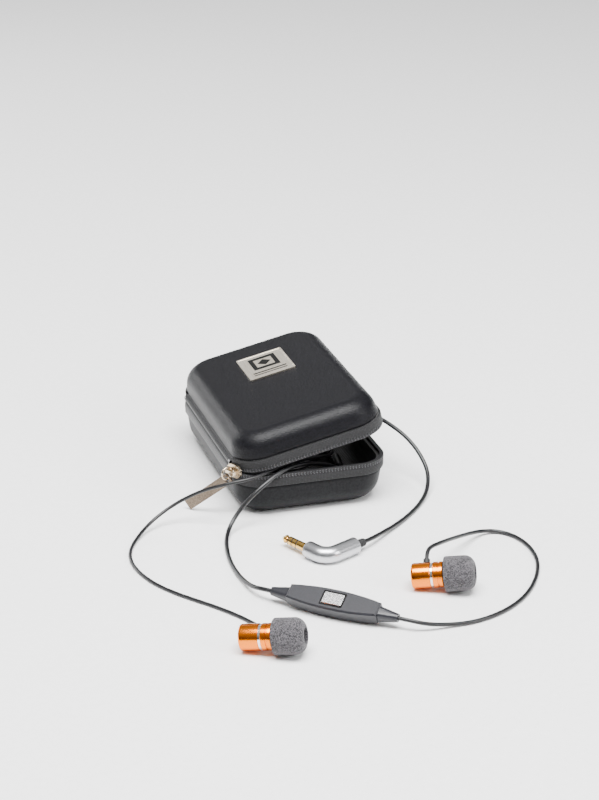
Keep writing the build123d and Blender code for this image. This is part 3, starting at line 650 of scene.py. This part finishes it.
    def teeth(self, half: Half) -> bpy.types.Object:
        """Makes the coil's visible loops, one head and one slanted leg at each pitch.

        Args:
            half: which half.

        Returns:
            The row of teeth.
        """
        mesh = bmesh.new()
        offset = 0.0 if half is Half.LID else self.tooth_pitch / 2
        head_height, leg_height = (1.5, 0.62) if half is Half.LID else (0.26, 1.0)
        head_shape = Matrix.Diagonal((*self.tooth_head, 1))
        leg_shape = Matrix.Diagonal((*self.tooth_leg, 1))
        for place, _ in self.rim(self.tooth_pitch):
            out = self.outward(place.x, place.y)
            turn = Matrix.Rotation(atan2(out.y, out.x), 4, "Z")
            base = place + Vector((-out.y, out.x, 0)) * offset
            head = Matrix.Translation(base - out * self.head_setback + Vector((0, 0, head_height))) @ turn
            leg = Matrix.Translation(base - out * self.leg_setback + Vector((0, 0, leg_height))) @ turn
            leg = leg @ Matrix.Rotation(self.leg_lean, 4, "X")
            for spot in (head @ head_shape, leg @ leg_shape):
                bmesh.ops.create_uvsphere(mesh, u_segments=6, v_segments=4, radius=1.0, matrix=spot)
        name = "lid_zip_teeth" if half is Half.LID else "base_zip_teeth"
        return settle(in_place(mesh, name, self.half_frame(half), 80), TEETH, half.value)

    def spine(self) -> bpy.types.Object:
        """Makes the skin over the hinge, in one fixed shape.

        Returns:
            The spine strip.
        """
        section = [(-32.3, 13.7), (-32.7, 14.2), (-33.1, 15.2), (-33.25, 17.2), (-33.2, 19.0),
                   (-32.95, 19.7), (-32.55, 20.05), (-33.0, 20.5), (-33.4, 21.2), (-33.45, 21.9),
                   (-33.15, 22.55), (-32.5, 22.95), (-31.9, 23.35), (-31.6, 23.9), (-31.55, 24.9)]
        mesh = bmesh.new()
        points = [mesh.verts.new((x, -self.spine_half, z)) for x, z in section]
        row = [mesh.edges.new(pair) for pair in zip(points, points[1:])]
        steps = 24
        for _ in range(steps):
            grown = bmesh.ops.extrude_edge_only(mesh, edges=row)["geom"]
            row = [g for g in grown if isinstance(g, bmesh.types.BMEdge)]
            row = [e for e in row if abs(e.verts[0].co.y - e.verts[1].co.y) < 1e-6]
            bmesh.ops.translate(mesh, vec=(0, 2 * self.spine_half / steps, 0),
                                verts=[g for g in grown if isinstance(g, bmesh.types.BMVert)])
        bmesh.ops.recalc_face_normals(mesh, faces=mesh.faces)
        if sum(f.normal.x for f in mesh.faces) > 0:
            bmesh.ops.reverse_faces(mesh, faces=mesh.faces)
        bmesh.ops.solidify(mesh, geom=mesh.faces[:], thickness=self.spine_wall)
        made = in_place(mesh, "spine_skin", Matrix.Scale(MM, 4), 60)
        settle(made, LID_SKIN, "", "spine_hinge")
        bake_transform(made)
        return made

    def bar_tacks(self) -> bpy.types.Object:
        """Makes the bar-tack stitches at the two ends of the spine.

        Returns:
            The stitches.
        """
        stitches, pitch, lean = 6, 0.38, 0.18
        first_x, first_y, first_z = -33.25, 36.28, 20.45
        stitch = Matrix.Diagonal((0.22, 0.62, 0.17, 1))
        mesh = bmesh.new()
        for end in (-1, 1):
            for i in range(stitches):
                spot = Matrix.Translation((first_x, end * first_y, first_z + pitch * i))
                spot = spot @ Matrix.Rotation(lean if i % 2 else -lean, 4, "X") @ stitch
                bmesh.ops.create_uvsphere(mesh, u_segments=8, v_segments=6, radius=1.0, matrix=spot)
        made = in_place(mesh, "bar_tack_stitches", Matrix.Scale(MM, 4), 80)
        return settle(made, THREAD, "root", "zip_end_tacks")

    def badge(self) -> list[bpy.types.Object]:
        """Makes the metal plate with a raised border and a plain geometric mark.

        Returns:
            The plate and the mark.
        """
        wide, long, thick = self.badge_size
        place = self.half_frame(Half.LID)
        place = place @ Matrix.Translation((*self.badge_centre, self.zip_band + self.lid_depth))
        mesh = bmesh.new()
        bmesh.ops.create_cube(mesh, size=1)
        bmesh.ops.scale(mesh, vec=(wide, long, thick), verts=mesh.verts)
        bmesh.ops.translate(mesh, vec=(0, 0, thick / 2), verts=mesh.verts)
        uprights = [e for e in mesh.edges if abs(e.verts[0].co.z - e.verts[1].co.z) > thick / 2]
        bmesh.ops.bevel(mesh, geom=uprights, offset=self.badge_corner, offset_type="OFFSET", segments=4,
                        profile=0.5, affect="EDGES", material=-1)
        top = [f for f in mesh.faces if f.normal.z > 0.9]
        bmesh.ops.inset_region(mesh, faces=top, thickness=self.badge_border, use_even_offset=True)
        bmesh.ops.inset_region(mesh, faces=top, thickness=0.08, depth=-self.badge_sink,
                               use_even_offset=True)
        plate = settle(in_place(mesh, "badge_plate_bordered", place, 40), BADGE, "lid", "badge_plate")
        mark = bmesh.new()
        bars = [(-5.0, 2.6, 1.9, 12.0, 0), (5.0, 2.6, 1.9, 12.0, 0), (0, 7.65, 8.1, 1.9, 0),
                (0, -2.45, 8.1, 1.9, 0), (0, 2.6, 4.2, 4.2, 45), (0, -6.6, 15.0, 0.8, 0),
                (0, -8.6, 15.0, 0.5, 0)]  # middle, size and turn of each bar
        for x, y, across, length, turn in bars:
            spot = Matrix.Translation((x, y, thick - self.enamel_drop))
            spot = spot @ Matrix.Rotation(radians(turn), 4, "Z")
            spot = spot @ Matrix.Diagonal((across, length, self.enamel_height, 1))
            grown = bmesh.ops.create_cube(mark, size=1, matrix=spot)
            upper = {v for v in grown["verts"] if v.co.z > thick - self.enamel_drop}
            edges = {e for v in upper for e in v.link_edges if upper.issuperset(e.verts)}
            bmesh.ops.bevel(mark, geom=list(edges), offset=0.03, offset_type="OFFSET", segments=1,
                            profile=0.5, affect="EDGES", material=-1)
        inlay = settle(in_place(mark, "badge_enamel_mark", place, 40), ENAMEL, "lid")
        return [plate, inlay]

    def build(self) -> None:
        """Makes every piece of the case."""
        for half in Half:
            self.shell(half)
            self.tape(half)
            self.teeth(half)
        self.spine()
        self.bar_tacks()
        self.badge()


# ---- earpieces -----------------------------------------------------------------------------------
@dataclass
class Earpiece:
    """One earpiece: turned housings, a polished band and a foam tip."""

    side: str
    origin: Triple
    radius: float = 5.0
    band_radius: float = 4.75
    bore: float = 4.1
    nose_bore: float = 2.4
    rear_wall: float = 1.2
    rear_edge: float = 0.9
    rear_end: float = 7.4
    band_end: float = 8.4
    groove: float = 10.55
    front_edge: float = 0.5
    front_end: float = 12.4
    foam_radius: float = 6.82
    foam_start: float = 12.7
    foam_end: float = 24.52
    foam_bore: float = 2.95
    foam_edge: float = 0.5
    foam_rows: int = 15
    foam_row: float = 0.45
    foam_roughness: float = 0.07
    dome: float = 4.2

    def place(self) -> Matrix:
        """Gives the earpiece's frame, Z from its rear to its tip."""
        return frame_at(self.origin, joint(f"{self.side}_tip_pull")["axis"], (0, 0, 1))

    def housings(self) -> None:
        """Makes the rear housing, the polished band and the front housing."""
        r, side, bore, end = self.radius, self.side, self.bore, self.rear_end
        rear = [(0, 0), (2.9, 0), (3.0, 0.06), (3.15, 0.06), (3.25, 0)]
        rear += rounding((r - self.rear_edge, self.rear_edge), self.rear_edge, -90, 0)
        rear += [(r, end - 0.2), (r - 0.1, end - 0.05), (r - 0.3, end), (bore, end), (bore, self.rear_wall),
                 (0, self.rear_wall)]
        settle(in_place(spun(rear), f"{side}_rear_housing_turned", self.place(), 30), ANODISED, "root",
               f"{side}_rear_housing")
        b, stop, ease = self.band_radius, self.band_end, 0.08
        band = [(bore, end), (b - ease, end), (b, end + ease)]
        band += [(b, stop - ease), (b - ease, stop), (bore, stop)]
        settle(in_place(spun(band, closed=True), f"{side}_polished_band", self.place(), 30), POLISHED,
               "root", f"{side}_polished_ring")
        front = [(self.nose_bore, stop), (r - 0.3, stop), (r - 0.1, stop + 0.05), (r, stop + 0.2)]
        front += [(r - depth, self.groove + step) for depth, step in (
            (0, -0.3), (0.05, -0.25), (0.3, -0.23), (0.3, 0.23), (0.05, 0.25), (0, 0.3))]
        edge, shoulder = self.front_edge, self.front_end - self.front_edge
        front += [(r, shoulder)] + rounding((r - edge, shoulder), edge, 0, 90, 4)
        front += [(self.nose_bore, self.front_end)]
        settle(in_place(spun(front, closed=True), f"{side}_front_housing_turned", self.place(), 30),
               ANODISED, "root", f"{side}_front_housing")

    def foam(self) -> bpy.types.Object:
        """Makes the cut foam tip with its slightly uneven skin.

        Returns:
            The tip.
        """
        r, start, end, bore = self.foam_radius, self.foam_start, self.foam_end, self.foam_bore
        edge, dome = self.foam_edge, self.dome
        profile = [(bore, start), (4.6, start), (r - 0.9, start)]
        profile += rounding((r - edge, start + edge), edge, -90, 0, 4)
        profile += [(r, start + edge + self.foam_row * i) for i in range(1, self.foam_rows + 1)]
        profile += rounding((r - dome, end - dome), dome, 4, 84, 14)
        profile += [(bore, end - 0.6), (bore, end - 2.0), (bore, 17.0)]
        mesh = spun(profile, 96, closed=True)
        shift = Vector((len(self.side), 0, 0))  # each side has its own unevenness
        for v in mesh.verts:  # the foam's open cells leave its outline slightly rough
            if hypot(v.co.x, v.co.y) > bore + 0.1:
                v.co += v.normal * self.foam_roughness * noise.noise(v.co * 1.9 + shift)
        made = in_place(mesh, f"{self.side}_foam_tip_cut", self.place(), 80)
        settle(made, FOAM, f"{self.side}_tip", f"{self.side}_foam_tip")
        return made

    def build(self) -> None:
        """Makes every piece of the earpiece."""
        self.housings()
        self.foam()


# ---- cables --------------------------------------------------------------------------------------
@dataclass
class Cable:
    """One length of cable along a smooth route."""

    name: str
    route: list[Triple]
    diameter: float
    length: float
    far_end: str
    replaced: tuple[str, ...]
    carried: tuple[str, ...] = field(default_factory=tuple)

    def build(self) -> bpy.types.Object:
        """Returns:
            The cable's curve.
        """
        curve = bpy.data.curves.new(self.name, "CURVE")
        curve.dimensions = "3D"
        line = curve.splines.new("NURBS")
        line.points.add(len(self.route) - 1)
        for point, spot in zip(line.points, self.route):
            point.co = (*(c * MM for c in spot), 1.0)
        line.order_u = 3
        line.use_endpoint_u = True
        line.resolution_u = 10
        curve.bevel_depth = self.diameter * MM / 2
        curve.bevel_resolution = 5
        curve.use_fill_caps = True
        made = bpy.data.objects.new(self.name, curve)
        bpy.context.collection.objects.link(made)
        settle(made, JACKET, "root", *self.replaced)
        return made


# Where each cable leaves its piece, and in which direction.
LEFT_EXIT, LEFT_OUT = Vector((-52.6954, -150.7313, 3.8299)), Vector((0.5066, 0.8232, -0.2561))
RIGHT_EXIT, RIGHT_OUT = Vector((22.2208, -121.6242, 9.3867)), Vector((0.3121, 0.811, 0.4948))
REMOTE_ALONG = Vector((0.7408, -0.6717, 0.0))
REMOTE_INLET, REMOTE_OUTLET = Vector((-39.6, -120.8, 4.4802)), Vector((-1.0782, -155.7295, 4.4802))
LEFT_PORT, REMOTE_PORT = (18.5607, -19.8579, 5.2), (20.4393, -20.1421, 5.2)
SPLITTER_END, SPLITTER_ALONG = Vector((21.3, -8.1, 5.2)), Vector((0.1496, 0.9888, 0.0))
PLUG_EXIT, BARREL_OUT = Vector((8.0949, -87.8819, 3.4)), Vector((0.8988, 0.4384, 0.0))
JACK_PIECES = ("plug_elbow", "plug_relief_ribbed", "jack_sleeve", "jack_ring_1", "jack_ring_2",
               "jack_tip", "jack_insulators")
REMOTE_PIECES = ("remote_top_shell", "remote_bottom_shell", "remote_inlet_relief", "remote_outlet_relief",
                 "remote_button", "button_frame", "remote_board", "tact_switch", "microphone")

LEFT_ROUTE = [
    tuple(LEFT_EXIT), tuple(LEFT_EXIT + 3.4 * LEFT_OUT), (-50.3, -143.6, 1.6), (-51.0, -138.9, 0.9),
    (-53.6, -132.9, 0.75), (-57.6, -126.0, 0.75), (-62.6, -118.8, 0.75), (-68.6, -111.2, 0.75),
    (-74.4, -103.2, 0.75), (-79.2, -94.4, 0.75), (-82.4, -84.4, 0.75), (-83.5, -74.4, 0.75),
    (-82.0, -64.4, 0.75), (-77.2, -54.6, 1.0), (-69.2, -45.4, 3.2), (-58.8, -42.0, 8.2),
    (-48.0, -45.6, 14.6), (-38.2, -51.4, 18.9), (-28.2, -52.9, 20.5), (-16.8, -46.9, 20.7),
    (-5.0, -39.6, 20.4), (6.0, -32.6, 17.4), (15.0, -22.5, 13.0), (20.2, -9.0, 9.2), (18.5, 7.5, 7.4),
    (8.0, 20.0, 7.1), (-8.0, 21.0, 7.0), (-18.0, 8.5, 7.0), (-16.5, -7.5, 7.0), (-6.0, -20.0, 6.6),
    (6.5, -27.6, 6.0), (15.6, -28.2, 5.4), LEFT_PORT]
REMOTE_ROUTE = [
    tuple(REMOTE_INLET), tuple(REMOTE_INLET - 4 * REMOTE_ALONG), (-44.6, -113.2, 3.2), (-45.7, -106.4, 2.0),
    (-46.3, -98.4, 1.2), (-46.4, -90.0, 0.95), (-45.8, -81.6, 0.95), (-44.4, -73.0, 0.95),
    (-42.2, -64.4, 1.2), (-38.8, -57.4, 3.2), (-33.0, -54.4, 9.4), (-25.2, -54.4, 16.6),
    (-14.6, -49.0, 20.9), (-2.5, -42.4, 20.0), (8.5, -37.2, 15.8), (16.2, -29.6, 9.6), REMOTE_PORT]
RIGHT_ROUTE = [
    tuple(RIGHT_EXIT), tuple(RIGHT_EXIT + 3 * RIGHT_OUT), (25.4, -116.3, 11.7), (30.6, -112.8, 11.1),
    (37.6, -106.2, 8.8), (44.5, -99.5, 6.2), (51.2, -93.3, 3.7), (57.8, -88.9, 1.8), (64.6, -89.3, 1.0),
    (69.0, -94.4, 0.85), (71.2, -101.8, 0.85), (71.3, -110.6, 0.85), (69.6, -119.2, 0.85),
    (66.0, -128.0, 0.85), (60.8, -136.8, 0.85), (54.0, -145.4, 0.85), (45.6, -152.6, 0.85),
    (36.0, -157.8, 0.85), (26.0, -160.4, 0.85), (16.6, -160.4, 1.4), (8.6, -160.6, 2.9),
    tuple(REMOTE_OUTLET + 5 * REMOTE_ALONG), tuple(REMOTE_OUTLET)]
PLUG_ROUTE = [
    tuple(PLUG_EXIT), tuple(PLUG_EXIT + 4 * BARREL_OUT), (18.2, -80.0, 2.2), (27.6, -71.8, 1.2),
    (36.4, -63.4, 0.95), (44.2, -54.4, 1.1), (50.2, -45.8, 2.6), (53.4, -37.4, 7.0), (52.0, -29.6, 12.6),
    (48.6, -22.4, 17.4), (43.6, -14.6, 20.8), (38.6, -5.0, 22.4), (32.0, 3.4, 21.9), (22.6, 4.6, 17.0),
    (13.6, -0.6, 11.6), (4.5, -8.8, 8.6), (-4.5, -12.2, 6.2)]


def coil_route(turns: float = 4.715, points_a_turn: int = 14) -> list[Triple]:
    """Winds the stored part of the main cable, two layers on each other.

    Args:
        turns: how often it goes round.
        points_a_turn: control points in each turn.

    Returns:
        The coil's control points.
    """
    outer, inner, low, high = 21.6, 17.35, 3.2, 5.15
    centre_y, start_angle, climb = 9, -8.5, 0.24  # climb is the part of a turn in which the layer changes
    half, route, count = turns / 2, [], round(turns * points_a_turn)
    for i in range(1, count + 1):
        turn = turns * i / count
        share = turn / half if turn < half else 2 - turn / half
        reach = outer + (inner - outer) * share
        rise = max(0.0, min(1.0, (turn - half + climb / 2) / climb))
        angle = radians(start_angle + 360 * turn)
        height = low + (high - low) * rise * rise * (3 - 2 * rise)
        route.append((reach * cos(angle), centre_y + reach * sin(angle), height))
    return route


def main_route() -> list[Triple]:
    """Gives the main cable's route: out of the splitter, round the coil and out to the plug.

    Returns:
        The route's control points.
    """
    lead = [tuple(SPLITTER_END), tuple(SPLITTER_END + 6 * SPLITTER_ALONG)]
    return lead + coil_route() + PLUG_ROUTE[::-1]


def lay_cables() -> None:
    """Lays the four cables."""
    Cable("left_earpiece_cable", LEFT_ROUTE, 1.4, 0.356, "fitting", ("left_cable",),
          ("y_splitter",)).build()
    Cable("remote_to_splitter_cable", REMOTE_ROUTE, 1.75, 0.147, "fitting", ("remote_cable",),
          ("y_splitter",)).build()
    Cable("right_earpiece_cable", RIGHT_ROUTE, 1.6, 0.178, "fitting", ("right_cable",),
          REMOTE_PIECES).build()
    Cable("main_plug_cable", main_route(), 1.75, 0.75, "plug",
          ("main_cable_lead", "main_cable_coil", "plug_cable"), JACK_PIECES).build()


def make_plug_relief() -> bpy.types.Object:
    """Makes the plug's ribbed strain relief.

    Returns:
        The strain relief.
    """
    length, radius, bore = 5.0, 1.9, 0.95
    ribs, rib_pitch, taper, groove = 4, 1.18, 0.085, 0.28
    barrel_end = PLUG_EXIT - length * BARREL_OUT
    profile = [(bore, 0.0), (radius, 0.0)]
    for i in range(ribs):
        start, wide = 0.2 + rib_pitch * i, radius - taper * i
        profile += [(wide, start + 0.1), (wide, start + 0.7), (wide - 0.1, start + 0.8),
                    (wide - groove, start + 0.84), (wide - groove, start + 1.12)]
    profile += [(1.5, length - 0.08), (1.42, length), (bore, length)]
    place = frame_at(barrel_end, BARREL_OUT, (0, 0, 1))
    return settle(in_place(spun(profile, 48, closed=True), "plug_relief_ribbed", place, 30), RUBBER, "root",
                  "plug_strain_relief")


# ---- studio --------------------------------------------------------------------------------------
@dataclass
class Studio:
    """The pale floor, the soft lights and the camera."""

    camera_at: Triple = (-253.3965, -860.2905, 393.4555)
    azimuth: float = -16.9
    elevation: float = 22.0
    lens: float = 102.12
    lamp_target: Triple = (0, -0.05, 0)  # metres
    floor_half: float = 3000

    def floor(self) -> None:
        """Lays the plain pale floor."""
        mesh = bmesh.new()
        bmesh.ops.create_grid(mesh, x_segments=4, y_segments=4, size=self.floor_half)
        ground = in_place(mesh, "studio_floor", Matrix.Scale(MM, 4))
        dress(ground, PAINT.build())

    def light(self, name: str, at: Triple, size: tuple[float, float], power: float) -> None:
        """Hangs one softbox that faces the case.

        Args:
            name: the lamp's name.
            at: its place, in metres.
            size: its width and height, in metres.
            power: its power, in watts.
        """
        lamp = bpy.data.lights.new(name, "AREA")
        lamp.shape, lamp.size, lamp.size_y, lamp.energy = "RECTANGLE", size[0], size[1], power
        holder = bpy.data.objects.new(name, lamp)
        holder.location = at
        holder.rotation_euler = (Vector(self.lamp_target) - Vector(at)).to_track_quat("-Z", "Y").to_euler()
        bpy.context.collection.objects.link(holder)

    def air(self) -> None:
        """Fills the room with white light that is strongest overhead."""
        world = bpy.data.worlds.new("studio_air")
        world.use_nodes = True
        tree = world.node_tree
        tree.nodes["Background"].inputs["Color"].default_value = linear("#ffffff")
        way = add(tree, "ShaderNodeTexCoord")
        sky = add(tree, "ShaderNodeSeparateXYZ", {}, {"Vector": way.outputs["Generated"]})
        fade = add(tree, "ShaderNodeMapRange", {
            "From Min": 0.25, "From Max": 1.0, "To Min": 0.12, "To Max": 0.8}, {"Value": sky.outputs["Z"]})
        tree.links.new(fade.outputs["Result"], tree.nodes["Background"].inputs["Strength"])
        bpy.context.scene.world = world

    def build(self) -> None:
        """Sets up the studio."""
        self.floor()
        self.light("top_softbox", (-0.1, -0.34, 1.1), (1.0, 0.55), 48)
        self.light("back_left_strip", (-0.5, 0.75, 0.3), (0.5, 0.12), 3)
        self.light("back_panel", (0.12, 1.0, 0.52), (0.6, 0.3), 0.55)
        self.light("front_right_fill", (0.8, -0.8, 0.6), (0.4, 0.4), 8)
        self.air()
        lens = bpy.data.cameras.new("catalogue_camera")
        lens.lens, lens.sensor_width, lens.clip_start = self.lens, 36.0, 0.01
        view = bpy.data.objects.new("catalogue_camera", lens)
        turn = Matrix.Rotation(radians(self.azimuth), 4, "Z")
        turn = turn @ Matrix.Rotation(radians(90 - self.elevation), 4, "X")
        view.matrix_world = Matrix.Translation(Vector(self.camera_at) * MM) @ turn
        bpy.context.collection.objects.link(view)
        bpy.context.scene.camera = view


def main() -> None:
    """Builds the scene, piece by piece."""
    logging.basicConfig(level=logging.INFO, format="%(name)s: %(message)s")
    Studio().build()
    dress_cad_nodes()
    make_plug_relief()
    lay_cables()
    Case().build()
    Earpiece("left", (-61.1, -154.2, 4.9479)).build()
    Earpiece("right", (15.1, -125.3, 4.9479)).build()


if __name__ == "__main__":
    main()
